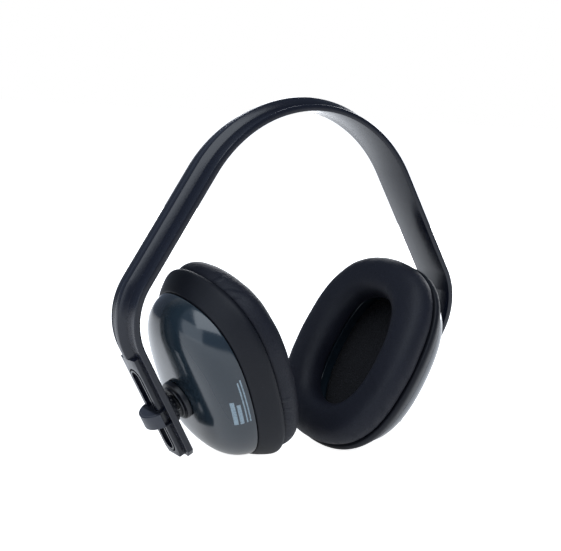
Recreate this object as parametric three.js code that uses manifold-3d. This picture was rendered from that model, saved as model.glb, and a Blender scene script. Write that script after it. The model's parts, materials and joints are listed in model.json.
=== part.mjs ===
import * as THREE from 'three';
import { mergeVertices } from 'three/addons/utils/BufferGeometryUtils.js';
import Module from 'manifold-3d';

// Passive hearing protection earmuffs: a moulded headband, and two oval cups that slide in
// its slotted ends and turn on ball joints. X runs ear to ear, -Y is the front, Z is up.

const wasm = await Module();
wasm.setup();

const gap = 0.3; // between neighbouring pieces
const bite = 0.6; // how far joined or cutting solids reach past a face
const smallest = 0.01; // edges shorter than this are closed up

// Headband, seen from the front: half of the line that its crest follows, crown to tab end.
const crownRadius = 71.7;
const crownHalfAngle = 15.3;
const archRadius = 72.9;
const legSlant = 32.2;
const legLength = 60.1;
const shoulderRadius = 35.7;
const tabSlant = 28.8;
const tabLength = 57.8;

// Headband section.
const bandWidth = 23.7;
const bandDepth = 6.3; // inner face to crest
const flangeThickness = 2.9;
const flangeBevel = 0.5;
const ribWidth = 8;
const ribSlope = 2.8; // how far its sides lean in, and how high
const trackWidth = 14;
const trackDrop = 0.8; // the track at the ends stands below the crest
const trackStart = 1.9; // past the end of the shoulder
const channelWidth = 10.4;
const channelDepth = 2;
const channelStart = 14; // along the shoulder
const tabCorner = 3;

// Adjustment slot in each tab, measured from the end of the shoulder.
const slotStart = 10;
const slotEnd = 54;
const slotWidth = 7;
const slotRimWidth = 0.9;
const slotRimHeight = 1.2;
const recessDepth = 1;
const recessMargin = 1.8;

// Slider knob, washer and ball joint.
const knobPlace = 37.1; // from the end of the shoulder, on the right side
const leftKnobRise = 2.3; // the left cup is set this much higher
const knobWidth = 17.5;
const knobHeight = 6;
const knobThickness = 7;
const neckClearance = 0.4;
const washerThickness = 1.4;
const ballRadius = 4.2;
const ballInset = 7.4; // from the tab's inner face to the ball's centre
const stemRadius = 2.6;
const tipRadius = 1.6;
const tipLength = 4.7;
const bearingThickness = 1.2;
const ringRadius = 8.6;
const ringThickness = 2.9;
const fluteCount = 18;
const fluteRadius = 0.7;

// Ear cup, along its own outward axis from the face of the cushion.
const cupStretch = 11.1; // the long half axis is this much over the short one
const cupSquareness = 2.5; // 2 is an ellipse
const cushionOuter = 38;
const cushionHole = 19.6;
const cushionHeight = 12.6;
const cushionSkin = 1.2;
const platePlace = 11;
const rimBase = cushionOuter + 2.8;
const rimTop = rimBase - 6.2;
const rimHeight = 11.7;
const rimWall = 2.5;
const rimOpening = 26;
const shellHeight = 16.8;
const shellWall = 2.2;
const shellLean = 0.11; // how far the dome leans up the long axis as it rises
const linerRadius = rimTop - 7;
const linerThickness = 9;
const ballRise = 1.4; // ball centre above the shell's top
const ballBelowCentre = 4.2;
const ballBehindCentre = 2;
const socketFlange = 10;
const socketBarrel = 7.3;
const barrelDepth = 7.2; // below the ball's centre
const retainerRadius = 12;

// How each cup is set: tilt inwards at the bottom, yaw about its long axis, turn about its own axis.
const cupPoses = {
  right: { tilt: 28.0, yaw: 5.2, turn: -1.5 },
  left: { tilt: 27.4, yaw: -1.8, turn: -15.7 },
};

const radians = THREE.MathUtils.degToRad;

const materials = {
  headband: new THREE.MeshStandardMaterial({ color: 0x14151a, roughness: 0.45, metalness: 0 }),
  knob: new THREE.MeshStandardMaterial({ color: 0x2b2d31, roughness: 0.5, metalness: 0 }),
  pivot: new THREE.MeshStandardMaterial({ color: 0x15161a, roughness: 0.5, metalness: 0 }),
  shell: new THREE.MeshStandardMaterial({ color: 0x2b373f, roughness: 0.15, metalness: 0 }),
  rim: new THREE.MeshStandardMaterial({ color: 0x121317, roughness: 0.55, metalness: 0 }),
  cushion: new THREE.MeshStandardMaterial({ color: 0x10121a, roughness: 0.5, metalness: 0 }),
  foam: new THREE.MeshStandardMaterial({ color: 0x0c0d10, roughness: 0.95, metalness: 0 }),
};

// Turns a closed geometry into a solid that can be joined and cut.
function solidOf(geometry) {
  const bare = geometry.index ? geometry.toNonIndexed() : geometry.clone();
  bare.deleteAttribute('normal');
  bare.deleteAttribute('uv');
  const merged = mergeVertices(bare, 1e-4);
  const corners = merged.index.array;
  const kept = [];
  for (let i = 0; i < corners.length; i += 3) {
    const [a, b, c] = corners.slice(i, i + 3);
    if (a !== b && b !== c && c !== a) kept.push(a, b, c);
  }
  return new wasm.Manifold(new wasm.Mesh({
    numProp: 3,
    vertProperties: new Float32Array(merged.attributes.position.array),
    triVerts: new Uint32Array(kept),
  }));
}

// Turns a solid back into a geometry with flat shaded faces.
function geometryOf(solid) {
  const { vertProperties, triVerts } = solid.simplify(smallest).getMesh();
  const geometry = new THREE.BufferGeometry();
  geometry.setAttribute('position', new THREE.BufferAttribute(new Float32Array(vertProperties), 3));
  geometry.setIndex(new THREE.BufferAttribute(new Uint32Array(triVerts), 1));
  geometry.computeVertexNormals();
  return geometry;
}

// Stretches of the crest line: how long each one is and how far it turns.
const archAngle = 90 - legSlant;
const stretches = [
  { length: crownRadius * radians(crownHalfAngle), turn: radians(crownHalfAngle), steps: 2 },
  {
    length: archRadius * radians(archAngle - crownHalfAngle),
    turn: radians(archAngle - crownHalfAngle),
    steps: 6,
  },
  { length: legLength, turn: 0, steps: 1 },
  {
    length: shoulderRadius * radians(legSlant + tabSlant),
    turn: radians(legSlant + tabSlant),
    steps: 8,
  },
  { length: tabLength, turn: 0, steps: 1 },
];
const shoulderStart = stretches.slice(0, 3).reduce((sum, s) => sum + s.length, 0);
const tabStart = shoulderStart + stretches[3].length;
const bandEnd = tabStart + tabLength;

// The point of the crest line that far from the crown, and the way its outer side faces.
function crestPoint(distance) {
  let x = 0;
  let z = 0;
  let heading = 0;
  let left = distance;
  for (const { length, turn } of stretches) {
    const travel = Math.min(left, length);
    const bend = (turn * travel) / length;
    if (turn) {
      const radius = length / turn;
      x += radius * (Math.sin(heading + bend) - Math.sin(heading));
      z += radius * (Math.cos(heading + bend) - Math.cos(heading));
    } else {
      x += travel * Math.cos(heading);
      z -= travel * Math.sin(heading);
    }
    heading += bend;
    left -= travel;
    if (left <= 0) break;
  }
  return { x, z, outX: Math.sin(heading), outZ: Math.cos(heading) };
}

// The places along the crest line where an outline between two distances needs a point.
function stationsBetween(from, to) {
  const places = [from, to];
  let start = 0;
  for (const { length, steps } of stretches) {
    for (let i = 0; i <= steps; i += 1) {
      const place = start + (length * i) / steps;
      if (place > from + 0.5 && place < to - 0.5) places.push(place);
    }
    start += length;
  }
  places.sort((a, b) => a - b);
  return places.filter((place, i) => i === 0 || place - places[i - 1] > 0.01);
}

// A layer of the headband: a stretch of its line, with corners at places across and depths.
function bandLayer(from, to, corners) {
  const stations = stationsBetween(from, to).map(crestPoint);
  const positions = [];
  const faces = [];
  const count = corners.length;
  stations.forEach((p, i) => {
    corners.forEach(([across, inset], j) => {
      positions.push(p.x - p.outX * inset, across, p.z - p.outZ * inset);
      if (i === 0) return;
      const a = i * count + j;
      const b = i * count + ((j + 1) % count);
      faces.push(a, b, b - count, a, b - count, a - count);
    });
  });
  const last = (stations.length - 1) * count;
  for (let j = 2; j < count; j += 1) faces.push(0, j - 1, j, last, last + j, last + j - 1);
  const geometry = new THREE.BufferGeometry();
  geometry.setAttribute('position', new THREE.Float32BufferAttribute(positions, 3));
  geometry.setIndex(faces);
  return outwardSolid(geometry);
}

// Corners of a flat section between two depths, with its outer corners trimmed.
function flatCorners(outer, inner, width, trim) {
  const half = width / 2;
  return [
    [-half, inner],
    [-half, outer + trim],
    [trim - half, outer],
    [half - trim, outer],
    [half, outer + trim],
    [half, inner],
  ];
}

// The frame of the tab at a distance from the shoulder: x down the tab, z outwards, origin on
// its inner face. side is 1 on the right and -1 on the left.
function tabFrame(distance, side) {
  const p = crestPoint(tabStart + distance);
  const outward = new THREE.Vector3(side * p.outX, 0, p.outZ);
  const along = new THREE.Vector3(side * p.outZ, 0, -p.outX);
  const across = new THREE.Vector3().crossVectors(outward, along);
  const frame = new THREE.Matrix4().makeBasis(along, across, outward);
  return frame.setPosition(
    side * (p.x - p.outX * bandDepth),
    0,
    p.z - p.outZ * bandDepth,
  );
}

// A solid round-ended bar lying along x, between two heights.
function stadium(from, to, width, low, high) {
  const r = width / 2;
  const outline = new THREE.Shape();
  outline.absarc(to - r, 0, r, -Math.PI / 2, Math.PI / 2);
  outline.absarc(from + r, 0, r, Math.PI / 2, (3 * Math.PI) / 2);
  const geometry = new THREE.ExtrudeGeometry(outline, {
    depth: high - low,
    bevelEnabled: false,
    curveSegments: 8,
  });
  geometry.translate(0, 0, low);
  return solidOf(geometry);
}

// A small wedge that trims a corner of the tab's end.
function cornerWedge(side) {
  const outline = new THREE.Shape([
    new THREE.Vector2(tabLength - tabCorner, side * (bandWidth / 2 + bite)),
    new THREE.Vector2(tabLength + bite, side * (bandWidth / 2 - tabCorner)),
    new THREE.Vector2(tabLength + bite, side * (bandWidth / 2 + bite)),
  ]);
  const geometry = new THREE.ExtrudeGeometry(outline, {
    depth: bandDepth + 2 * bite,
    bevelEnabled: false,
  });
  geometry.translate(0, 0, -bite);
  return solidOf(geometry);
}

// Half of the headband, from the crown to the end of the tab.
function headbandHalf() {
  const flangeInset = bandDepth - flangeThickness;
  const trackFrom = tabStart + trackStart;
  const trackTo = bandEnd - 1;
  const low = bandDepth - flangeThickness / 2;
  const layers = [
    bandLayer(gap / 2, bandEnd, flatCorners(flangeInset, bandDepth, bandWidth, flangeBevel)),
    bandLayer(gap / 2, trackFrom + bite, flatCorners(0, low, ribWidth, ribSlope)),
    bandLayer(trackFrom, trackTo, flatCorners(trackDrop, low, trackWidth, flangeBevel)),
  ];
  const channel = bandLayer(
    shoulderStart + channelStart,
    bandEnd - 2.5,
    flatCorners(bandDepth - channelDepth, bandDepth + bite, channelWidth, flangeBevel),
  );
  const top = bandDepth - trackDrop;
  const floor = top - recessDepth;
  const frame = tabFrame(0, 1);
  const placed = (solid) => solid.transform(frame.elements);
  const recess = stadium(
    slotStart - recessMargin,
    slotEnd + recessMargin,
    slotWidth + 2 * recessMargin,
    floor,
    top + bite,
  );
  const rim = stadium(
    slotStart - slotRimWidth,
    slotEnd + slotRimWidth,
    slotWidth + 2 * slotRimWidth,
    floor - bite,
    floor + slotRimHeight,
  );
  const slot = stadium(slotStart, slotEnd, slotWidth, -bite, top + 2 * bite);
  let half = layers.reduce((sum, layer) => sum.add(layer));
  half = half.subtract(channel);
  half = half.subtract(placed(recess));
  half = half.add(placed(rim));
  half = half.subtract(placed(slot));
  half = half.subtract(placed(cornerWedge(1)));
  half = half.subtract(placed(cornerWedge(-1)));
  return half;
}

// A solid of revolution about z from a closed profile of radius and height.
function turned(profile, segments) {
  const points = profile.map(([r, z]) => new THREE.Vector2(r, z));
  if (profile[0][0] > 0) points.push(points[0].clone());
  const geometry = new THREE.LatheGeometry(points, segments);
  geometry.rotateX(Math.PI / 2);
  return geometry;
}

// Makes a turned geometry oval: x gets the longer axis, and the outline is a little squarer.
function ovalise(geometry) {
  const position = geometry.attributes.position;
  const power = 2 / cupSquareness;
  for (let i = 0; i < position.count; i += 1) {
    const x = position.getX(i);
    const y = position.getY(i);
    const r = Math.hypot(x, y);
    if (r > 1e-3) {
      const longer = r + cupStretch * Math.min(1, r / 15);
      const c = Math.abs(x / r) < 1e-6 ? 0 : x / r;
      const s = Math.abs(y / r) < 1e-6 ? 0 : y / r;
      position.setX(i, longer * Math.sign(c) * Math.abs(c) ** power);
      position.setY(i, r * Math.sign(s) * Math.abs(s) ** power);
    } else {
      position.setXY(i, 0, 0);
    }
  }
  return geometry;
}

// Faces of a turned solid may wind either way, so the volume's sign settles it.
function outwardSolid(geometry) {
  const solid = solidOf(geometry);
  if (solid.volume() > 0) return solid;
  const index = geometry.index.array;
  for (let i = 0; i < index.length; i += 3) [index[i], index[i + 1]] = [index[i + 1], index[i]];
  return solidOf(geometry);
}

const cupSegments = 36;
const cupPiece = (profile) => outwardSolid(ovalise(turned(profile, cupSegments)));
const roundPiece = (profile, segments = 20) => outwardSolid(turned(profile, segments));

// An arc of a circle about the origin as profile points, by latitude in degrees.
function latitudes(radius, from, to, steps) {
  const points = [];
  for (let i = 0; i <= steps; i += 1) {
    const angle = radians(from + ((to - from) * i) / steps);
    points.push([radius * Math.cos(angle), radius * Math.sin(angle)]);
  }
  return points;
}

// The skin of a cushion: wraps the ear face, the outer wall and the wall of the hole.
function cushionProfile(shrink, back) {
  const outer = cushionOuter;
  const hole = cushionHole;
  return [
    [hole + 0.2 + shrink, back],
    [hole + shrink, 6],
    [hole + 1 + shrink * 0.9, 2.2 + shrink * 0.5],
    [hole + 4.6 + shrink * 0.3, shrink],
    [outer - 3.4 - shrink * 0.3, shrink],
    [outer - 0.7 - shrink * 0.5, 0.9 + shrink * 0.8],
    [outer + 0.9 - shrink * 0.8, 3.2 + shrink * 0.5],
    [outer + 2.1 - shrink, 7.5],
    [outer + 1.6 - shrink, back],
  ];
}

function cushionCover() {
  const inside = cushionProfile(cushionSkin, cushionHeight).reverse();
  return cupPiece([...cushionProfile(0, cushionHeight), ...inside]);
}

function cushionFoam() {
  return cupPiece(cushionProfile(cushionSkin + gap, platePlace - gap));
}

function cushionPlate() {
  const inner = cushionHole + cushionSkin + 0.2 + gap;
  const outer = cushionOuter + 1.2 - cushionSkin - gap;
  return cupPiece([
    [inner, platePlace],
    [outer, platePlace],
    [outer, cushionHeight],
    [inner, cushionHeight],
  ]);
}

const rimStart = cushionHeight + gap;
const rimEnd = rimStart + rimHeight;

function cupRim() {
  return cupPiece([
    [rimOpening, rimStart],
    [rimBase - 0.6, rimStart],
    [rimBase, rimStart + 2.2],
    [rimTop, rimEnd],
    [rimTop - rimWall, rimEnd],
    [rimBase - 1.5 * rimWall, rimStart + 3],
    [rimOpening, rimStart + 2.4],
  ]);
}

// Half width of the dome and its height above the rim, as shares, from the rim to the apex.
const domeShares = [[1, 0], [0.97, 0.24], [0.885, 0.52], [0.74, 0.77], [0.53, 0.93], [0.3, 0.985]];

function domeProfile(radius, height) {
  return [...domeShares.map(([r, h]) => [r * radius, h * height]), [0, height]];
}

const shellStart = rimEnd + gap;
const ballDepth = shellStart + shellHeight + ballRise;

function cupShell(hingeY) {
  const outer = domeProfile(rimTop - 0.2, shellHeight);
  const inner = domeProfile(rimTop - 0.2 - shellWall, shellHeight - shellWall).reverse();
  const dome = cupPiece([...outer.reverse(), ...inner.reverse()]);
  const hole = roundPiece([[0, 0], [socketBarrel + gap, 0], [socketBarrel + gap, 20], [0, 20]]);
  const leaning = dome.warp((point) => {
    point[0] += shellLean * point[2];
  });
  const raised = leaning.translate([0, 0, shellStart]);
  return raised.subtract(hole.translate([-ballBelowCentre, hingeY, ballDepth - 12]));
}

function foamLiner() {
  return cupPiece([
    [0, shellStart + 0.6],
    [linerRadius, shellStart + 0.6],
    [linerRadius + 1.4, shellStart + 3],
    [linerRadius - 1.5, shellStart + 6.8],
    [linerRadius - 8, shellStart + linerThickness],
    [0, shellStart + linerThickness],
  ]);
}

// Socket for the ball, about the ball's centre: a barrel through the shell with a flange on it.
function socketRing() {
  const bore = ballRadius + bearingThickness + 2 * gap;
  const top = 2.4;
  const seat = shellStart + shellHeight + gap - ballDepth;
  return roundPiece([
    ...latitudes(bore, -46, (180 / Math.PI) * Math.asin(top / bore), 5),
    [socketFlange - 2, top],
    [socketFlange, 1.2],
    [socketFlange, seat],
    [socketBarrel, seat],
    [socketBarrel, -barrelDepth],
    [bore * Math.cos(radians(46)), -barrelDepth],
  ]);
}

function socketRetainer() {
  return roundPiece([
    [socketBarrel + gap, gap - barrelDepth],
    [retainerRadius, gap - barrelDepth],
    [retainerRadius - 1, 2 - barrelDepth],
    [socketBarrel + gap, 2 - barrelDepth],
  ]);
}

// Spherical washer between the ball and its socket.
function bearingWasher() {
  const inner = ballRadius + gap;
  const outer = inner + bearingThickness;
  return roundPiece([...latitudes(inner, -38, 24, 4), ...latitudes(outer, 24, -38, 4)]);
}

// Ball with its stem and tip, about the ball's centre.
function ballPin() {
  const waist = (180 / Math.PI) * Math.acos(stemRadius / ballRadius);
  return roundPiece([
    [0, -ballRadius],
    ...latitudes(ballRadius, -70, waist, 6),
    [stemRadius, ballInset],
    [tipRadius, ballInset],
    [tipRadius, ballInset + tipLength],
    [0, ballInset + tipLength],
  ]);
}

// Fluted collar that turns on the stem, between the tab and the socket.
function fluteRing() {
  const low = ballInset - gap - ringThickness;
  const inner = stemRadius + gap;
  let ring = roundPiece([
    [inner, low],
    [ringRadius - 0.8, low],
    [ringRadius, low + 0.8],
    [ringRadius, low + ringThickness],
    [inner, low + ringThickness],
  ], 36);
  for (let i = 0; i < fluteCount; i += 1) {
    const angle = (2 * Math.PI * i) / fluteCount;
    const flute = new THREE.CylinderGeometry(fluteRadius, fluteRadius, 3 * ringThickness, 6);
    flute.rotateX(Math.PI / 2);
    flute.translate(ringRadius * Math.cos(angle), ringRadius * Math.sin(angle), low);
    ring = ring.subtract(solidOf(flute));
  }
  return ring;
}

function frictionWasher() {
  const neck = slotWidth / 2 - neckClearance;
  return roundPiece([
    [neck + gap, gap],
    [channelWidth / 2 - 0.4, gap],
    [channelWidth / 2 - 0.4, gap + washerThickness],
    [neck + gap, gap + washerThickness],
  ]);
}

// Slider knob from the tab's inner face outwards: neck through the slot, arched grip across it.
function sliderKnob() {
  const neck = slotWidth / 2 - neckClearance;
  const seat = bandDepth - trackDrop - recessDepth + slotRimHeight + gap;
  const half = knobWidth / 2;
  const radius = (half * half + knobHeight * knobHeight) / (2 * knobHeight);
  const sweep = Math.asin(half / radius);
  const outline = new THREE.Shape();
  outline.absarc(0, knobHeight - radius, radius, Math.PI / 2 - sweep, Math.PI / 2 + sweep);
  const bevel = 0.6;
  const grip = new THREE.ExtrudeGeometry(outline, {
    depth: knobThickness - 2 * bevel,
    bevelEnabled: true,
    bevelThickness: bevel,
    bevelSize: bevel,
    bevelOffset: -bevel,
    bevelSegments: 1,
    curveSegments: 12,
  });
  // the outline's x runs across the slot and its y outwards
  grip.translate(0, 0, bevel - knobThickness / 2);
  grip.rotateX(Math.PI / 2);
  grip.rotateZ(Math.PI / 2);
  grip.translate(0, 0, seat);
  const stem = roundPiece([[0, 2 * gap], [neck, 2 * gap], [neck, seat + 2], [0, seat + 2]]);
  const bore = roundPiece([
    [0, 0],
    [tipRadius + gap, 0],
    [tipRadius + gap, tipLength + gap],
    [0, tipLength + gap],
  ], 16);
  return outwardSolid(grip).add(stem).subtract(bore);
}

const mirror = new THREE.Matrix4().makeScale(-1, 1, 1);

// A named mesh of a finished solid.
function meshOf(name, solid, material) {
  const mesh = new THREE.Mesh(geometryOf(solid), materials[material]);
  mesh.name = name;
  return mesh;
}

// The axes of a cup: x up its long axis, z outwards. They turn about the ball.
function cupFrame(side, { tilt, yaw, turn }) {
  const outward = new THREE.Vector3(side * Math.cos(radians(tilt)), 0, -Math.sin(radians(tilt)));
  const long = new THREE.Vector3(side * Math.sin(radians(tilt)), 0, Math.cos(radians(tilt)));
  const back = new THREE.Vector3(0, 1, 0);
  const out = outward.clone().multiplyScalar(Math.cos(radians(yaw)));
  out.addScaledVector(back, Math.sin(radians(yaw)));
  const wide = back.clone().multiplyScalar(Math.cos(radians(yaw)));
  wide.addScaledVector(outward, -Math.sin(radians(yaw)));
  const up = long.clone().multiplyScalar(Math.cos(radians(turn)));
  up.addScaledVector(wide, Math.sin(radians(turn)));
  const across = new THREE.Vector3().crossVectors(out, up);
  return new THREE.Matrix4().makeBasis(up, across, out);
}

// Everything that hangs on one tab.
function addSide(group, label, side) {
  const place = side > 0 ? knobPlace : knobPlace - leftKnobRise;
  const carriage = new THREE.Group();
  tabFrame(place, side).decompose(carriage.position, carriage.quaternion, carriage.scale);
  carriage.add(meshOf(`slider_knob_${label}`, sliderKnob(), 'knob'));
  carriage.add(meshOf(`friction_washer_${label}`, frictionWasher(), 'pivot'));
  const pivot = new THREE.Group();
  pivot.position.z = -ballInset;
  pivot.add(meshOf(`ball_pin_${label}`, ballPin(), 'pivot'));
  pivot.add(meshOf(`fluted_collar_${label}`, fluteRing(), 'pivot'));
  carriage.add(pivot);
  group.add(carriage);

  const ball = new THREE.Vector3(0, 0, -ballInset).applyMatrix4(tabFrame(place, side));
  const cup = new THREE.Group();
  cup.quaternion.setFromRotationMatrix(cupFrame(side, cupPoses[label]));
  cup.position.copy(ball);
  cup.add(meshOf(`ball_bearing_${label}`, bearingWasher(), 'pivot'));
  cup.add(meshOf(`pivot_socket_${label}`, socketRing(), 'pivot'));
  cup.add(meshOf(`socket_retainer_${label}`, socketRetainer(), 'pivot'));
  // the cup's local y points forwards on the right and backwards on the left
  const hingeY = -side * ballBehindCentre;
  const bowl = new THREE.Group();
  bowl.position.set(ballBelowCentre, -hingeY, -ballDepth);
  bowl.add(meshOf(`cup_shell_${label}`, cupShell(hingeY), 'shell'));
  bowl.add(meshOf(`cup_rim_${label}`, cupRim(), 'rim'));
  bowl.add(meshOf(`foam_liner_${label}`, foamLiner(), 'foam'));
  bowl.add(meshOf(`cushion_plate_${label}`, cushionPlate(), 'rim'));
  bowl.add(meshOf(`cushion_foam_${label}`, cushionFoam(), 'foam'));
  bowl.add(meshOf(`cushion_cover_${label}`, cushionCover(), 'cushion'));
  cup.add(bowl);
  group.add(cup);
}

const group = new THREE.Group();
const half = headbandHalf();
group.add(meshOf('headband_right', half, 'headband'));
group.add(meshOf('headband_left', half.transform(mirror.elements), 'headband'));
addSide(group, 'right', 1);
addSide(group, 'left', -1);

// The origin is under the middle of the whole, at its lowest point.
group.updateMatrixWorld(true);
const box = new THREE.Box3().setFromObject(group, true);
const middle = box.getCenter(new THREE.Vector3());
group.position.set(-middle.x, -middle.y, -box.min.z);

export default group;
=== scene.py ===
import json
from math import atan2, cos, pi, radians, sin

import bmesh
import bpy
from mathutils import Matrix, Vector


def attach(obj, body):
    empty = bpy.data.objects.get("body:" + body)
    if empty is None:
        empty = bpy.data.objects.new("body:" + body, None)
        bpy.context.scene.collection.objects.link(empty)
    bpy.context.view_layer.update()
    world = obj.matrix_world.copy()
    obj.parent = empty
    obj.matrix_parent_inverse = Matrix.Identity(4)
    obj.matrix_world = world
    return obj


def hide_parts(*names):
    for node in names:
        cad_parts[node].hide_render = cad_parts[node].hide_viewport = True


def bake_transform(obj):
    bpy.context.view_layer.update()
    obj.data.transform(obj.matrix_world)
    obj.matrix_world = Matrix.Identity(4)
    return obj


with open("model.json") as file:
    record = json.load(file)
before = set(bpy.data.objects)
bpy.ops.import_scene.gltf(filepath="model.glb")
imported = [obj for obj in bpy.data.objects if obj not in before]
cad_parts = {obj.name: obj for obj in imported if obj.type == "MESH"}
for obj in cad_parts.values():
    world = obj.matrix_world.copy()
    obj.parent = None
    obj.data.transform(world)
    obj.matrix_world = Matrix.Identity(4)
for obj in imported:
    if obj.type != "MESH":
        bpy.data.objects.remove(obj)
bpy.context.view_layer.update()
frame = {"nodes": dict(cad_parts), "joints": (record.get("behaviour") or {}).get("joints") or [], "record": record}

mm = 0.001
sides = {"right": 1, "left": -1}
joints = {joint["name"]: joint for joint in frame["joints"]}
mounts = {mount["name"]: mount for mount in frame["record"]["mounts"]}
crown = Vector(joints["headband_spread"]["pos_m"])


def spaceOf(x, z, origin):
    x = Vector(x).normalized()
    z = Vector(z).normalized()
    x = (x - z * x.dot(z)).normalized()
    y = z.cross(x)
    return Matrix.Translation(origin) @ Matrix((x, y, z)).transposed().to_4x4()


tabFit = {"ballInset": 7.4}
cupFit = {"ballDepth": 43.1, "ballBelowCentre": 4.2, "ballBehindCentre": 2}


def tabSpace(side):  # x down the tab, z outwards, origin on its inner face at the slider
    ball = Vector(joints[f"swivel_{side}"]["pos_m"])
    outward = Vector(joints[f"swivel_{side}"]["axis"])
    down = -Vector(joints[f"slide_{side}"]["axis"])
    return spaceOf(down, outward, ball + outward * tabFit["ballInset"] * mm)


def cupSpace(side):  # x up the cup, z outwards, origin in the middle of the cushion's face
    ball = Vector(joints[f"yaw_{side}"]["pos_m"])
    up = Vector(joints[f"yaw_{side}"]["axis"])
    outward = -Vector(mounts[f"{side}_cushion_face"]["axis"])
    space = spaceOf(up, outward, ball)
    shift = (cupFit["ballBelowCentre"], sides[side] * cupFit["ballBehindCentre"], -cupFit["ballDepth"])
    return space @ Matrix.Translation(Vector(shift) * mm)


def deselectAll():
    if bpy.context.mode != "OBJECT":
        bpy.ops.object.mode_set(mode="OBJECT")
    bpy.ops.object.select_all(action="DESELECT")


def select(piece):
    deselectAll()
    piece.select_set(True)
    bpy.context.view_layer.objects.active = piece


def edit(piece):
    select(piece)
    bpy.ops.object.mode_set(mode="EDIT")


def pick(piece, test, kind="verts", within=False):  # selects the vertices or faces that pass, by their place
    mesh = bmesh.from_edit_mesh(piece.data)
    chosen = []
    for item in getattr(mesh, kind):
        place = item.co if kind == "verts" else item.calc_center_median()
        if (item.select or not within) and test(place):
            chosen.append(item)
    for part in (mesh.faces, mesh.edges, mesh.verts):
        for item in part:
            item.select_set(False)
    for item in chosen:
        item.select_set(True)
    mesh.select_flush(True)
    bmesh.update_edit_mesh(piece.data)
    return len(chosen)


def move(value):
    bpy.ops.transform.translate(value=value)


def resize(value, centre):
    bpy.ops.transform.resize(value=value, center_override=centre)


def extrude(value=(0, 0, 0)):
    bpy.ops.mesh.extrude_region_move(TRANSFORM_OT_translate={"value": value})


def tidyUp(piece, merge=1e-6):  # closes doubled points and turns the faces outwards
    edit(piece)
    bpy.ops.mesh.select_all(action="SELECT")
    bpy.ops.mesh.remove_doubles(threshold=merge)
    bpy.ops.mesh.normals_make_consistent(inside=False)
    deselectAll()


def settle(piece, space=None):  # puts the piece in its place, with the place in its mesh
    select(piece)
    if space is not None:
        piece.matrix_world = space @ piece.matrix_world
    bpy.ops.object.transform_apply(location=True, rotation=True, scale=True)


def applied(piece, kind, **settings):
    select(piece)
    modifier = piece.modifiers.new(kind.title(), kind)
    for name, value in settings.items():
        setattr(modifier, name, value)
    bpy.ops.object.modifier_apply(modifier=modifier.name)


def joined(piece, other, operation):
    applied(piece, "BOOLEAN", object=other, operation=operation, solver="EXACT")
    bpy.data.objects.remove(other)


def smooth(piece, angle=None):
    select(piece)
    if angle is None:
        bpy.ops.object.shade_smooth()
    else:
        bpy.ops.object.shade_smooth_by_angle(angle=radians(angle))


def subdivided(piece, levels):
    applied(piece, "SUBSURF", levels=levels, render_levels=levels)


ovalShape = {"stretch": 11.1, "handle": 1.2457, "resolution": 24}


def longHalf(half):
    return half + ovalShape["stretch"] * min(1, half / 15)


def ringPiece(name, rings, oval, centre=None, segments=96):
    # rings hold half width, height and shift along x, and run right round the section or to the axis
    deselectAll()
    if oval:
        bpy.ops.curve.primitive_bezier_circle_add(radius=1, location=(0, 0, 0))
        spline = bpy.context.object.data.splines[0]
        spline.resolution_u = ovalShape["resolution"]
        for point in spline.bezier_points:
            point.handle_left_type = point.handle_right_type = "FREE"
            point.handle_left = point.co + (point.handle_left - point.co) * ovalShape["handle"]
            point.handle_right = point.co + (point.handle_right - point.co) * ovalShape["handle"]
        bpy.ops.object.convert(target="MESH")
    else:
        bpy.ops.mesh.primitive_circle_add(vertices=segments, radius=1, location=(0, 0, 0))
    piece = bpy.context.object
    piece.name = name
    edit(piece)
    bpy.ops.mesh.select_all(action="SELECT")
    bpy.ops.mesh.remove_doubles(threshold=1e-7)
    bpy.ops.mesh.select_all(action="SELECT")
    lastLong = lastShort = 1
    lastPlace = (0, 0)
    for count, ring in enumerate(rings):
        short, height = ring[0], ring[1]
        shift = ring[2] if len(ring) > 2 else 0
        long = longHalf(short) if oval else short
        step = ((shift - lastPlace[0]) * mm, 0, (height - lastPlace[1]) * mm)
        if count:
            extrude(step)
        else:
            move(step)
        scale = mm if count == 0 else 1
        factors = (scale * long / lastLong, scale * short / lastShort, 1)
        resize(factors, (shift * mm, 0, height * mm))
        lastLong, lastShort, lastPlace = long, short, (shift, height)
    if centre == "last":
        bpy.ops.mesh.merge(type="CENTER")
    if centre == "both":
        bpy.ops.mesh.merge(type="CENTER")
        first = rings[0]
        reach = longHalf(first[0]) if oval else first[0]
        shift = first[2] if len(first) > 2 else 0
        middle = Vector((shift * mm, 0))

        def inFirst(place):
            return abs(place.z - first[1] * mm) < 1e-6 and (place.xy - middle).length < reach * mm + 1e-5

        pick(piece, inFirst)
        bpy.ops.mesh.merge(type="CENTER")
    tidyUp(piece)
    return piece


class Wire:
    def __init__(self, tree, socket):
        self.tree = tree
        self.socket = socket

    def make(self, kind, settings=None, values=None, output=0):
        made = self.tree.nodes.new("ShaderNode" + kind)
        for name, value in (settings or {}).items():
            if name == "stops":
                ramp = made.color_ramp
                ramp.elements[0].position, ramp.elements[0].color = value[0]
                ramp.elements[1].position, ramp.elements[1].color = value[1]
                for place, colour in value[2:]:
                    ramp.elements.new(place).color = colour
            else:
                setattr(made, name, value)
        for name, value in (values or {}).items():
            if isinstance(value, Wire):
                self.tree.links.new(value.socket, made.inputs[name])
            else:
                made.inputs[name].default_value = value
        return Wire(self.tree, made.outputs[output])

    def sum(self, operation, first, second=0.0):
        return self.make("Math", {"operation": operation}, {0: first, 1: second})

    def __add__(self, other):
        return self.sum("ADD", self, other)

    __radd__ = __add__

    def __sub__(self, other):
        return self.sum("SUBTRACT", self, other)

    def __rsub__(self, other):
        return self.sum("SUBTRACT", other, self)

    def __mul__(self, other):
        return self.sum("MULTIPLY", self, other)

    __rmul__ = __mul__

    def __truediv__(self, other):
        return self.sum("DIVIDE", self, other)

    def __abs__(self):
        return self.sum("ABSOLUTE", self)


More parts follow.
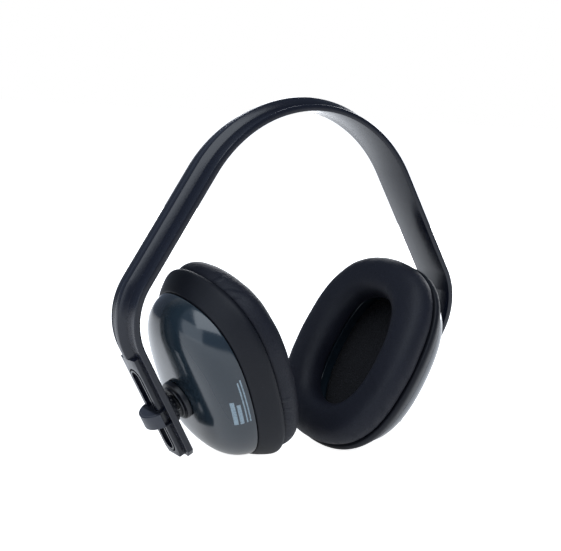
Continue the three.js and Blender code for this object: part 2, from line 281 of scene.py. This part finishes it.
def opened(name):  # a new material with its shader, and the object coordinates
    material = bpy.data.materials.new(name)
    material.use_nodes = True
    tree = material.node_tree
    shader = next(n for n in tree.nodes if n.type == "BSDF_PRINCIPLED")
    coordinates = Wire(tree, None).make("TexCoord", output=3)
    return material, shader, coordinates


def noise(place, scale, detail=3, rough=0.5):
    values = {"Vector": place, "Scale": scale, "Detail": detail, "Roughness": rough}
    return place.make("TexNoise", {"noise_dimensions": "3D"}, values)


def between(value, low, high):  # 0 below low, 1 above high
    values = {"Value": value, "From Min": low, "From Max": high}
    return value.make("MapRange", {"interpolation_type": "SMOOTHSTEP"}, values)


def cupPlaces(place, space):  # millimetres along, across and outwards from the cushion's face
    turned = space.inverted()
    rows = zip(turned.to_3x3(), turned.to_translation())
    dots = []
    for row, shift in rows:
        dot = place.make("VectorMath", {"operation": "DOT_PRODUCT"}, {0: place, 1: tuple(row)}, output=1)
        dots.append((dot + shift) / mm)
    return dots


def blendColours(share, first, second):
    made = share.make("Mix", {"data_type": "RGBA"}, {"Factor": share}, output=2)
    node = made.socket.node
    for socket, value in ((node.inputs[6], first), (node.inputs[7], second)):
        if isinstance(value, Wire):
            share.tree.links.new(value.socket, socket)
        else:
            socket.default_value = (*value, 1)
    return made


def wire(shader, name, value):
    if isinstance(value, Wire):
        value.tree.links.new(value.socket, shader.inputs[name])
    else:
        shader.inputs[name].default_value = value


def bump(height, distance, strength=1.0):
    return height.make("Bump", {}, {"Height": height, "Distance": distance, "Strength": strength})


def plastic(name, look):
    material, shader, place = opened(name)
    cloud = noise(place, look["cloudScale"], 4, 0.6)
    grain = noise(place, look["grainScale"], 3, 0.6)
    fine = noise(place, look["grainScale"] * 3.1, 2, 0.5)
    stretched = place.make("Mapping", {}, {"Vector": place, "Scale": (14, 150, 150)})
    scuff = between(noise(stretched, 4.0, 4, 0.7), 0.62, 0.78)
    dust = between(noise(place, 900.0, 2, 0.5), 0.70, 0.80)
    shade = blendColours(cloud, look["dark"], look["light"])
    shade = blendColours(dust * look["dust"], shade, (0.25, 0.26, 0.28))
    shade = blendColours(scuff * look["scuff"], shade, (0.12, 0.125, 0.135))
    wire(shader, "Base Color", shade)
    wire(shader, "Roughness", look["roughness"] + (cloud - 0.5) * look["roughnessSpread"] + scuff * 0.08)
    wire(shader, "Normal", bump(grain + fine * 0.4, look["grainDepth"]))
    wire(shader, "IOR", look["ior"])
    wire(shader, "Coat Weight", look["coat"])
    wire(shader, "Coat Roughness", look["coatRoughness"])
    return material


plasticLooks = {
    "headband": {"dark": (0.0022, 0.0030, 0.0075), "light": (0.0045, 0.0060, 0.0130), "roughness": 0.25,
                 "roughnessSpread": 0.10, "grainScale": 1500.0, "grainDepth": 0.00003, "cloudScale": 40.0,
                 "dust": 0.10, "scuff": 0.12, "ior": 1.45, "coat": 0.0, "coatRoughness": 0.1},
    "knob": {"dark": (0.018, 0.020, 0.028), "light": (0.030, 0.033, 0.045), "roughness": 0.38,
             "roughnessSpread": 0.10, "grainScale": 1700.0, "grainDepth": 0.00003, "cloudScale": 90.0,
             "dust": 0.12, "scuff": 0.25, "ior": 1.49, "coat": 0.0, "coatRoughness": 0.1},
    "pivot": {"dark": (0.003, 0.0035, 0.006), "light": (0.006, 0.007, 0.011), "roughness": 0.40,
              "roughnessSpread": 0.12, "grainScale": 1700.0, "grainDepth": 0.00003, "cloudScale": 120.0,
              "dust": 0.10, "scuff": 0.15, "ior": 1.49, "coat": 0.0, "coatRoughness": 0.1},
    "rim": {"dark": (0.0014, 0.0019, 0.0042), "light": (0.0028, 0.0036, 0.0074), "roughness": 0.55,
            "roughnessSpread": 0.12, "grainScale": 1300.0, "grainDepth": 0.00004, "cloudScale": 50.0,
            "dust": 0.05, "scuff": 0.06, "ior": 1.34, "coat": 0.0, "coatRoughness": 0.1},
}
materials = {name: plastic(name + " plastic", look) for name, look in plasticLooks.items()}

shellLook = {"dark": (0.011, 0.019, 0.027), "light": (0.017, 0.027, 0.036), "mark": (0.30, 0.38, 0.42)}


def shellPlastic(name, space=None):
    material, shader, place = opened(name)
    cloud = noise(place, 30.0, 3, 0.5)
    wave = noise(place, 55.0, 2, 0.4)
    fine = noise(place, 1900.0, 2, 0.5)
    dust = between(noise(place, 1200.0, 2, 0.5), 0.72, 0.80)
    shade = blendColours(cloud, shellLook["dark"], shellLook["light"])
    shade = blendColours(dust * 0.10, shade, (0.3, 0.31, 0.33))
    rough = 0.17 + (cloud - 0.5) * 0.06
    if space is not None:  # plain printed bars beside the rim
        along, across, depth = cupPlaces(place, space)
        bars = None
        for middle, half, low, high in printBars:
            inRow = between(abs(depth - middle), half + 0.12, half - 0.12)
            inRun = between(abs(along - (low + high) / 2), (high - low) / 2 + 0.15, (high - low) / 2 - 0.15)
            bar = inRow * inRun
            bars = bar if bars is None else bars.sum("MAXIMUM", bars, bar)
        front = between(across * -1, 10.0, 12.0)
        worn = between(noise(place, 1500.0, 2, 0.5), 0.35, 0.50)
        ink = bars * front * (0.55 + worn * 0.45)
        shade = blendColours(ink, shade, shellLook["mark"])
        rough = rough + ink * 0.3
    wire(shader, "Base Color", shade)
    wire(shader, "Roughness", rough)
    wire(shader, "IOR", 1.5)
    wire(shader, "Coat Weight", 0.2)
    wire(shader, "Coat Roughness", 0.1)
    wire(shader, "Normal", bump(wave + fine * 0.02, 0.00012, 0.35))
    return material


printBars = [  # depth, half height, from, to
    (27.4, 0.3, -8, 17), (28.8, 0.3, -8, 16), (31.0, 0.8, -8, 4), (33.3, 0.8, -8, 6),
]


skinLook = {
    "dark": (0.0024, 0.0031, 0.0075), "light": (0.0052, 0.0063, 0.0135), "roughness": 0.56, "puckers": 30.0,
}


def skin(name, space):
    material, shader, place = opened(name)
    cloud = noise(place, 45.0, 4, 0.6)
    grain = place.make("TexVoronoi", {"feature": "DISTANCE_TO_EDGE"}, {"Vector": place, "Scale": 900.0})
    pore = between(grain, 0.0, 0.16)
    fine = noise(place, 2400.0, 3, 0.6)
    slack = noise(place, 130.0, 3, 0.5)
    dust = between(noise(place, 1000.0, 2, 0.5), 0.70, 0.80)
    along, across, depth = cupPlaces(place, space)
    turn = along.sum("ARCTAN2", along, across)
    waver = noise(place, 28.0, 3, 0.5)
    fold = turn.sum("SINE", turn * skinLook["puckers"] + waver * 16.0 + depth * 0.35)
    patchy = between(noise(place, 24.0, 2, 0.5), 0.47, 0.60)
    pucker = between(fold, 0.1, 1.0) * between(depth, 4.0, 9.5) * patchy  # folds that fade away from the seam
    shade = blendColours(cloud, skinLook["dark"], skinLook["light"])
    shade = blendColours(dust * 0.10, shade, (0.20, 0.21, 0.24))
    # painted shade: the low creases of the grain, between the raised pebbles, are painted darker towards black
    shade = blendColours((1 - pore) * 0.35, shade, (0.002, 0.002, 0.004))
    wire(shader, "Base Color", shade)
    wire(shader, "Roughness", skinLook["roughness"] + (cloud - 0.5) * 0.12 + (1 - pore) * 0.08)
    wire(shader, "Normal", bump(pore * 0.5 + fine * 0.25 + slack * 3.0 + pucker * 9.0, 0.00006))
    wire(shader, "IOR", 1.36)
    return material


def foam(name):
    material, shader, place = opened(name)
    cells = place.make("TexVoronoi", {"feature": "F1"}, {"Vector": place, "Scale": 1400.0})
    cloud = noise(place, 120.0, 4, 0.7)
    hollow = between(cells, 0.1, 0.75)
    # painted shade: the low hollows between the foam cells are painted darker and the raised cell middles lighter
    shade = blendColours(hollow, (0.014, 0.014, 0.019), (0.002, 0.002, 0.003))
    shade = blendColours(cloud, shade, (0.004, 0.004, 0.006))
    wire(shader, "Base Color", shade)
    wire(shader, "Roughness", 0.90 + cloud * 0.1)
    wire(shader, "Normal", bump((1 - hollow) + cloud, 0.0004))
    return material


materials["foam"] = foam("open foam")
print("materials made")


def dressed(piece, material):
    piece.data.materials.clear()
    piece.data.materials.append(material)


def copied(model, side):  # a copy with its own mesh
    select(model)
    bpy.ops.object.duplicate()
    piece = bpy.context.object
    piece.name = f"{side}_{model.name}"
    return piece


def fitted(piece, base, side, space, material, body):  # stands for a CAD node and moves with its body
    settle(piece, space)
    dressed(piece, material)
    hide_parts(f"{base}_{side}")
    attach(piece, f"{body}_{side}")


bandShape = {
    "crownRadius": 71.7, "crownAngle": 15.3, "archRadius": 72.9, "legSlant": 32.2, "legLength": 60.1,
    "shoulderRadius": 35.7, "tabSlant": 28.8, "tabLength": 57.8, "width": 23.7, "depth": 6.3,
    "flange": 2.9, "trackWidth": 14.0, "trackDrop": 0.8, "trackStart": 1.9, "trackStep": 0.4, "corner": 3.0,
    "slotStart": 10.0, "slotEnd": 54.0, "slotWidth": 7.0, "recess": 1.0, "recessMargin": 1.8,
    "rimWidth": 0.9, "rimHeight": 1.2, "channelWidth": 10.4, "channelDepth": 2.0, "channelStart": 14.0,
}


def bandProfile():  # across and outwards, from the near inner corner round to the far one
    s = bandShape
    half = s["width"] / 2
    inner = -s["depth"]
    top = s["flange"] - s["depth"]
    near = [
        (-half + 0.35, inner), (-half + 0.1, inner + 0.12), (-half, inner + 0.4),
        (-half, top - 0.35), (-half + 0.12, top + 0.02), (-half + 0.5, top + 0.22),
        (-half + 0.95, top + 0.2), (-half + 1.2, top), (-7.6, top), (-4.45, top),
        (-4.15, top + 0.12), (-4.0, top + 0.5), (-1.75, -0.22), (-1.45, -0.06), (-1.1, 0),
    ]
    return near + [(-across, out) for across, out in reversed(near)]


def sweepStep(piece, at, heading, kind, amount, radius=0, steps=1):
    # carries the selected end on along the crest line: at is the crest point, heading its slope
    if kind == "arc":
        centre = (at[0] - radius * sin(heading), at[1] - radius * cos(heading))
        bpy.ops.mesh.spin(
            steps=steps, angle=-amount, center=(centre[0] * mm, 0, centre[1] * mm), axis=(0, 1, 0)
        )
        heading += amount
        at = (centre[0] + radius * sin(heading), centre[1] + radius * cos(heading))
    else:
        for _ in range(steps):
            extrude((amount / steps * cos(heading) * mm, 0, -amount / steps * sin(heading) * mm))
        at = (at[0] + amount * cos(heading), at[1] - amount * sin(heading))
    return at, heading


def endPick(piece, at, heading, test):  # among the end's points, by place across and height over the crest
    def passes(place):
        out = ((place.x / mm - at[0]) * sin(heading) + (place.z / mm - at[1]) * cos(heading))
        return test(place.y / mm, out)
    return pick(piece, passes, within=True)


def endFace(piece, at, heading):  # selects the whole end again
    def passes(place):
        along = (place.x / mm - at[0]) * cos(heading) - (place.z / mm - at[1]) * sin(heading)
        out = (place.x / mm - at[0]) * sin(heading) + (place.z / mm - at[1]) * cos(heading)
        return abs(along) < 0.01 and abs(out) < 20
    return pick(piece, passes)


def stadium(name, start, end, width, low, high):  # a bar with round ends along x
    deselectAll()
    radius = width / 2
    bpy.ops.mesh.primitive_circle_add(vertices=64, radius=radius * mm, fill_type="NGON", location=(0, 0, 0))
    piece = bpy.context.object
    piece.name = name
    edit(piece)
    pick(piece, lambda p: p.x > -1e-7)
    move(((end - start - width) * mm, 0, 0))
    bpy.ops.mesh.select_all(action="SELECT")
    move(((start + radius) * mm, 0, low * mm))
    extrude((0, 0, (high - low) * mm))
    tidyUp(piece)
    return piece


def sectionDrawn(name, profile, at, heading):  # a filled section across the crest line
    def place(across, out):
        return Vector((at[0] + sin(heading) * out, across, at[1] + cos(heading) * out)) * mm

    deselectAll()
    bpy.ops.mesh.primitive_plane_add(size=mm, location=(0, 0, 0))
    piece = bpy.context.object
    piece.name = name
    edit(piece)
    bpy.ops.mesh.select_all(action="SELECT")
    bpy.ops.mesh.merge(type="CENTER")
    move(place(*profile[0]))
    for before, after in zip(profile, profile[1:]):
        extrude(place(*after) - place(*before))
    bpy.ops.mesh.select_all(action="SELECT")
    bpy.ops.mesh.edge_face_add()
    return piece


def headband():
    s = bandShape
    at, heading = (0.0, 0.0), 0.0
    piece = sectionDrawn("headband", bandProfile(), at, heading)
    archTurn = radians(90 - s["legSlant"] - s["crownAngle"])
    at, heading = sweepStep(piece, at, heading, "arc", radians(s["crownAngle"]), s["crownRadius"], 12)
    at, heading = sweepStep(piece, at, heading, "arc", archTurn, s["archRadius"], 32)
    at, heading = sweepStep(piece, at, heading, "line", s["legLength"], steps=8)
    shoulderTurn = radians(s["legSlant"] + s["tabSlant"])
    at, heading = sweepStep(piece, at, heading, "arc", shoulderTurn, s["shoulderRadius"], 36)
    start, down, out = at, (cos(heading), -sin(heading)), (sin(heading), cos(heading))
    at, heading = sweepStep(piece, at, heading, "line", s["trackStart"])
    at, heading = sweepStep(piece, at, heading, "line", s["trackStep"])
    shapeTrack(piece, at, heading)
    straight = s["tabLength"] - s["trackStart"] - s["trackStep"] - s["corner"]
    at, heading = sweepStep(piece, at, heading, "line", 1.2)
    at, heading = sweepStep(piece, at, heading, "line", straight - 1.2)
    at, heading = sweepStep(piece, at, heading, "line", s["corner"])
    centre = (at[0] * mm, 0, at[1] * mm)
    resize((1, (s["width"] / 2 - s["corner"] + 0.6) / (s["width"] / 2), 1), centre)
    tidyUp(piece)
    return piece, start, down, out


def shapeTrack(piece, at, heading):
    s = bandShape
    top = s["flange"] - s["depth"]
    centre = (at[0] * mm, 0, at[1] * mm)
    up = (sin(heading), cos(heading))
    half = s["trackWidth"] / 2
    moves = [
        (lambda a, h: 4.3 < abs(a) < 4.6, half + 0.3, 4.45, 0),
        (lambda a, h: 4.1 < abs(a) < 4.3, half + 0.08, 4.15, 0),
        (lambda a, h: 3.9 < abs(a) < 4.1, half, 4.0, -s["trackDrop"] - 0.5 - (top + 0.5)),
        (lambda a, h: 1.6 < abs(a) < 1.9, half - 0.15, 1.75, -s["trackDrop"] - 0.15 + 0.22),
        (lambda a, h: 1.3 < abs(a) < 1.6, half - 0.5, 1.45, -s["trackDrop"] + 0.06),
        (lambda a, h: 0.9 < abs(a) < 1.2, 1.1, 1.1, -s["trackDrop"]),
    ]
    for test, wanted, now, rise in moves:
        endFace(piece, at, heading)
        endPick(piece, at, heading, test)
        resize((1, wanted / now, 1), centre)
        move((up[0] * rise * mm, 0, up[1] * rise * mm))
    endFace(piece, at, heading)


def channelCutter():  # follows the inner side of the shoulder and the tab
    s = bandShape
    turn = radians(s["legSlant"] + s["tabSlant"])
    skipped = s["channelStart"] / s["shoulderRadius"]
    heading = radians(90 + s["tabSlant"]) - turn + skipped
    centre = (tabStart[0] - tabOut[0] * s["shoulderRadius"], tabStart[1] - tabOut[1] * s["shoulderRadius"])
    at = (centre[0] + s["shoulderRadius"] * sin(heading), centre[1] + s["shoulderRadius"] * cos(heading))
    half, low, high = s["channelWidth"] / 2, -s["depth"] - 2, s["channelDepth"] - s["depth"]
    piece = sectionDrawn("channel", [(-half, low), (-half, high), (half, high), (half, low)], at, heading)
    at, heading = sweepStep(piece, at, heading, "arc", turn - skipped, s["shoulderRadius"], 24)
    sweepStep(piece, at, heading, "line", s["tabLength"] - 2.5)
    tidyUp(piece)
    return piece


band, tabStart, tabDown, tabOut = headband()
tabTop = bandShape["depth"] - bandShape["trackDrop"]
floorHeight = tabTop - bandShape["recess"]
innerStart = (tabStart[0] - tabOut[0] * bandShape["depth"], tabStart[1] - tabOut[1] * bandShape["depth"])
slotSpace = spaceOf(
    (tabDown[0], 0, tabDown[1]), (tabOut[0], 0, tabOut[1]), Vector((innerStart[0], 0, innerStart[1])) * mm
)
slotWidth, margin = bandShape["slotWidth"], bandShape["recessMargin"]
recess = stadium(
    "recess", bandShape["slotStart"] - margin, bandShape["slotEnd"] + margin,
    slotWidth + 2 * margin, floorHeight, tabTop + 2,
)
settle(recess, slotSpace)
joined(band, recess, "DIFFERENCE")
edge = bandShape["rimWidth"]
slotRim = stadium(
    "slot rim", bandShape["slotStart"] - edge, bandShape["slotEnd"] + edge, slotWidth + 2 * edge,
    floorHeight - 1, floorHeight + bandShape["rimHeight"],
)
settle(slotRim, slotSpace)
joined(band, slotRim, "UNION")
joined(band, channelCutter(), "DIFFERENCE")
opening = stadium("slot", bandShape["slotStart"], bandShape["slotEnd"], slotWidth, -2, tabTop + 4)
settle(opening, slotSpace)
joined(band, opening, "DIFFERENCE")
edit(band)
pick(band, lambda p: abs(p.x) < 1e-5, kind="faces")
bpy.ops.mesh.select_mode(type="FACE")
bpy.ops.mesh.delete(type="FACE")
bpy.ops.mesh.select_mode(type="VERT")
deselectAll()
applied(band, "MIRROR", use_axis=(True, False, False), use_clip=True, merge_threshold=1e-5)
tidyUp(band, 1e-6)
settle(band, Matrix.Translation(crown))
smooth(band, 28)
dressed(band, materials["headband"])
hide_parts("headband_left", "headband_right")
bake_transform(band)
print("headband made", len(band.data.vertices))


knobShape = {"width": 17.5, "height": 6.0, "thickness": 7.0, "bevel": 0.5, "neck": 6.2, "seat": 6.0}


def knob():
    s = knobShape
    deselectAll()
    half = s["width"] / 2
    radius = (half * half + s["height"] ** 2) / (2 * s["height"])
    bpy.ops.mesh.primitive_circle_add(vertices=96, radius=radius * mm, fill_type="NGON", location=(0, 0, 0))
    piece = bpy.context.object
    piece.name = "slider_knob"
    edit(piece)
    bpy.ops.mesh.select_all(action="SELECT")
    move((0, (s["height"] - radius) * mm, 0))
    bpy.ops.mesh.select_all(action="SELECT")
    bpy.ops.mesh.bisect(plane_co=(0, 0, 0), plane_no=(0, 1, 0), clear_inner=True)
    bpy.ops.mesh.select_all(action="SELECT")
    move((0, 0, -s["thickness"] / 2 * mm))
    bpy.ops.mesh.select_all(action="SELECT")
    extrude((0, 0, s["thickness"] * mm))
    bpy.ops.mesh.select_all(action="SELECT")
    bpy.ops.mesh.normals_make_consistent(inside=False)
    for end in (-1, 1):  # a shallow step round each flat face
        pick(piece, lambda p: abs(p.z - end * s["thickness"] / 2 * mm) < 1e-6, kind="faces")
        bpy.ops.mesh.inset(thickness=0.9 * mm, depth=0)
        bpy.ops.mesh.inset(thickness=0.15 * mm, depth=0.25 * mm)
    deselectAll()
    applied(piece, "BEVEL", width=s["bevel"] * mm, segments=3, limit_method="ANGLE", angle_limit=radians(50))
    piece.matrix_world = Matrix.Translation((0, 0, s["seat"] * mm)) @ Matrix(
        ((0, 0, 1, 0), (1, 0, 0, 0), (0, 1, 0, 0), (0, 0, 0, 1))
    )
    settle(piece)
    neckRadius, neckTop = s["neck"] / 2, s["seat"] + 2
    neckRings = [(0.2, 0.6), (neckRadius, 0.6), (neckRadius, neckTop), (0.2, neckTop)]
    neck = ringPiece("neck", neckRings, False, "both", 48)
    joined(piece, neck, "UNION")
    smooth(piece, 35)
    return piece


def collar():
    low = -2.9 - 0.3
    rings = [(2.9, low), (7.4, low), (7.9, low + 0.15), (8.45, low + 0.8), (8.6, low + 1.1),
             (8.6, low + 2.6), (8.4, low + 2.9), (2.9, low + 2.9), (2.9, low)]
    piece = ringPiece("fluted_collar", rings, False, None, 144)
    edit(piece)

    def inFlute(place):
        turn = (atan2(place.y, place.x) / (2 * pi) * 18) % 1
        return place.xy.length > 8.0 * mm and 0.3 < turn < 0.7

    pick(piece, inFlute)
    resize((0.915, 0.915, 1), (0, 0, 0))
    smooth(piece, 30)
    return piece


def ballPin():
    radius, inset = 4.2, tabFit["ballInset"]
    rings = [(0.3, -radius)]
    for step in range(1, 15):
        angle = -pi / 2 + step * radians(9.5)
        if radius * cos(angle) < 2.6 and angle > 0:
            break
        rings.append((radius * cos(angle), radius * sin(angle)))
    rings += [(2.6, 3.3), (2.6, inset - 0.2), (2.5, inset)]
    rings += [(1.6, inset), (1.6, inset + 4.6), (0.3, inset + 4.7)]
    piece = ringPiece("ball_pin", rings, False, "both", 48)
    settle(piece, Matrix.Translation((0, 0, -inset * mm)))
    smooth(piece, 35)
    return piece


def socket():
    seat = 24.9 + 16.8 + 0.3 - cupFit["ballDepth"]
    bore = 6.0
    rings = [(bore * cos(radians(a)), bore * sin(radians(a))) for a in range(-46, 24, 6)]
    rings += [(5.55, 2.3), (5.8, 2.4), (7.6, 2.4), (7.9, 2.3), (8.1, 1.7), (9.3, 1.45), (9.8, 1.1),
              (10.0, 0.6), (10.0, seat), (7.3, seat), (7.3, -7.2), (4.2, -7.2)]
    rings.append(rings[0])
    piece = ringPiece("pivot_socket", rings, False, None, 72)
    smooth(piece, 30)
    return piece


def ballPlace(side):  # from the cushion's face to the ball's centre
    back = -sides[side] * cupFit["ballBehindCentre"]
    return Vector((-cupFit["ballBelowCentre"], back, cupFit["ballDepth"])) * mm


pivotPieces = (
    (knob, "knob", "slider"), (collar, "pivot", "collar"), (ballPin, "pivot", "slider"), (socket, "pivot", "cup"),
)
for make, material, body in pivotPieces:
    model = make()
    base = model.name
    for side in sides:
        space = cupSpace(side) @ Matrix.Translation(ballPlace(side)) if body == "cup" else tabSpace(side)
        fitted(copied(model, side), base, side, space, materials[material], body)
    bpy.data.objects.remove(model)
print("sliders and pivots made")


coverRings = [
    (38.4, 12.6), (39.0, 12.2), (39.6, 11.2), (40.0, 9.6), (40.2, 7.6), (39.9, 5.6), (39.1, 3.8), (37.9, 2.2),
    (36.3, 1.0), (34.4, 0.3), (32.0, -0.05), (29.0, -0.15), (26.6, 0.0), (24.6, 0.5), (22.8, 1.5), (21.3, 3.0),
    (20.3, 5.0), (19.8, 7.4), (19.7, 10.0), (19.8, 12.6), (21.2, 12.6), (36.8, 12.6), (38.4, 12.6),
]
rimRings = [
    (26.2, 12.9), (39.6, 12.9), (40.1, 13.0), (40.6, 13.6), (40.8, 14.6), (40.75, 15.4), (40.2, 16.9),
    (38.9, 19.2), (37.2, 21.9), (35.4, 24.1), (34.95, 24.5), (34.5, 24.6), (32.4, 24.6), (32.2, 24.3),
    (36.8, 16.3), (36.4, 15.5), (26.4, 15.2), (26.2, 14.9), (26.2, 12.9),
]
domeShares = [(1.0, 0.0), (0.998, 0.05), (0.985, 0.14), (0.965, 0.25), (0.93, 0.39), (0.88, 0.53), (0.815, 0.66),
              (0.73, 0.775), (0.62, 0.87), (0.49, 0.935), (0.36, 0.972), (0.22, 0.992), (0.08, 1.0)]
domeShape = {"start": 24.9, "height": 16.8, "radius": 34.4, "wall": 2.2, "lean": 0.11}
linerRings = [
    (0.5, 25.6), (9.0, 25.3), (18.0, 25.5), (25.0, 25.6), (27.4, 26.0), (28.4, 27.2), (28.3, 28.6), (26.0, 31.4),
    (19.6, 33.6), (8.0, 33.9), (0.5, 33.9),
]


def cover():
    piece = ringPiece("cushion_cover", coverRings, True)
    subdivided(piece, 2)
    texture = bpy.data.textures.new("slack", "CLOUDS")
    texture.noise_scale = 0.016
    applied(piece, "DISPLACE", texture=texture, strength=0.0007, mid_level=0.5, texture_coords="LOCAL")
    smooth(piece)
    return piece


def rim():
    piece = ringPiece("cup_rim", rimRings, True)
    subdivided(piece, 2)
    smooth(piece, 60)
    return piece


def shell():
    s = domeShape

    def wall(radius, height):
        return [(r * radius, s["start"] + h * height, s["lean"] * h * height) for r, h in domeShares]

    outer = list(reversed(wall(s["radius"], s["height"])))
    inner = wall(s["radius"] - s["wall"], s["height"] - s["wall"])
    lip = [(s["radius"] - 0.15, s["start"]), (s["radius"] - s["wall"] + 0.15, s["start"])]
    rings = outer[:-1] + [(s["radius"], s["start"] + 0.25)] + lip + inner[1:]
    piece = ringPiece("cup_shell", rings, True, "both")
    subdivided(piece, 2)
    return piece


def pierced(piece, side):  # opens the shell for its socket
    hole = ringPiece("hole", [(0.2, 34), (7.6, 34), (7.6, 50), (0.2, 50)], False, "both", 48)
    centre = ballPlace(side)
    settle(hole, Matrix.Translation((centre.x, centre.y, 0)))
    joined(piece, hole, "DIFFERENCE")
    smooth(piece, 40)


def liner():
    piece = ringPiece("foam_liner", linerRings, True, "both")
    subdivided(piece, 1)
    texture = bpy.data.textures.new("lumps", "CLOUDS")
    texture.noise_scale = 0.006
    applied(piece, "DISPLACE", texture=texture, strength=0.0006, mid_level=0.5, texture_coords="LOCAL")
    smooth(piece)
    return piece


cupPieces = ((cover, "cushion", 0.9), (rim, "rim", None), (shell, "shell", None), (liner, "foam", 1.0))
for make, slot, fill in cupPieces:
    model = make()
    base = model.name
    for side in sides:
        space = cupSpace(side)
        piece = copied(model, side)
        if slot == "shell":
            pierced(piece, side)
            material = shellPlastic(f"shell plastic {side}", space if side == "left" else None)
        elif slot == "cushion":
            material = skin(f"cushion skin {side}", space)
        else:
            material = materials[slot]
        fitted(piece, base, side, space, material, "cup")
    bpy.data.objects.remove(model)
print("cups made")

kept = {
    "friction_washer": "pivot", "ball_bearing": "pivot", "socket_retainer": "pivot",
    "cushion_plate": "rim", "cushion_foam": "foam",
}
for base, material in kept.items():
    for side in sides:
        node = frame["nodes"][f"{base}_{side}"]
        node.data.materials.clear()
        node.data.materials.append(materials[material])


deselectAll()
stageLook = {"fill": (0.20, 0.24, 0.32), "glow": 0.95, "shine": 0.5}
bpy.ops.mesh.primitive_plane_add(size=60, location=(0, 0, -0.0005))
floor = bpy.context.object
floor.name = "floor"
floorMaterial, floorShader, floorPlace = opened("floor paint")
wire(floorShader, "Base Color", blendColours(noise(floorPlace, 3.0), (0.93, 0.93, 0.93), (0.95, 0.95, 0.95)))
wire(floorShader, "Roughness", 0.9)
wire(floorShader, "Specular IOR Level", 0.0)
mirrored = floorPlace.make("LightPath", output=3) * stageLook["shine"]
glowing = floorPlace.make("LightPath") + mirrored
wire(floorShader, "Emission Color", blendColours(glowing, (0, 0, 0), (1, 1, 1)))
wire(floorShader, "Emission Strength", stageLook["glow"])
floor.data.materials.append(floorMaterial)

world = bpy.context.scene.world or bpy.data.worlds.new("studio")
bpy.context.scene.world = world
world.use_nodes = True
background = next(n for n in world.node_tree.nodes if n.type == "BACKGROUND")
seen = Wire(world.node_tree, None).make("LightPath")
wire(background, "Color", blendColours(seen, stageLook["fill"], (1, 1, 1)))

cameraView = {
    "place": (-323.17, -450.09, 171.55), "azimuth": -34.70, "elevation": 8.574, "roll": 3.085, "lens": 72.31,
}


def lamp(name, place, target, size, power, colour=(1, 1, 1)):
    deselectAll()
    bpy.ops.object.light_add(type="AREA", location=place)
    light = bpy.context.object
    light.name = name
    light.data.shape = "RECTANGLE"
    light.data.size, light.data.size_y = size
    light.data.energy = power
    light.data.color = colour
    light.rotation_euler = (Vector(target) - Vector(place)).to_track_quat("-Z", "Y").to_euler()
    return light


lamp("key", (-0.45, -0.45, 1.05), (0, 0, 0.08), (1.3, 1.0), 12, (0.86, 0.93, 1))
lamp("side", (-1.15, -0.1, 0.35), (0, 0, 0.07), (0.9, 0.8), 3, (0.84, 0.92, 1))
lamp("back", (0.85, 0.75, 0.30), (0.05, 0, 0.06), (1.2, 0.9), 16, (0.95, 0.97, 1))


def placeCamera():
    v = cameraView
    azimuth, elevation, roll = radians(v["azimuth"]), radians(v["elevation"]), radians(v["roll"])
    back = Vector((sin(azimuth) * cos(elevation), -cos(azimuth) * cos(elevation), sin(elevation)))
    right = Vector((cos(azimuth), sin(azimuth), 0))
    up = back.cross(right)
    turned = right * cos(roll) + up * sin(roll)
    deselectAll()
    bpy.ops.object.camera_add(location=Vector(v["place"]) * mm)
    camera = bpy.context.object
    camera.matrix_world = (
        Matrix.Translation(Vector(v["place"]) * mm)
        @ Matrix((turned, back.cross(turned), back)).transposed().to_4x4()
    )
    camera.data.lens = v["lens"]
    camera.data.sensor_width = 36
    camera.data.clip_start = 0.01
    camera.data.clip_end = 20
    bpy.context.scene.camera = camera


placeCamera()
bpy.context.scene.view_settings.view_transform = "Standard"
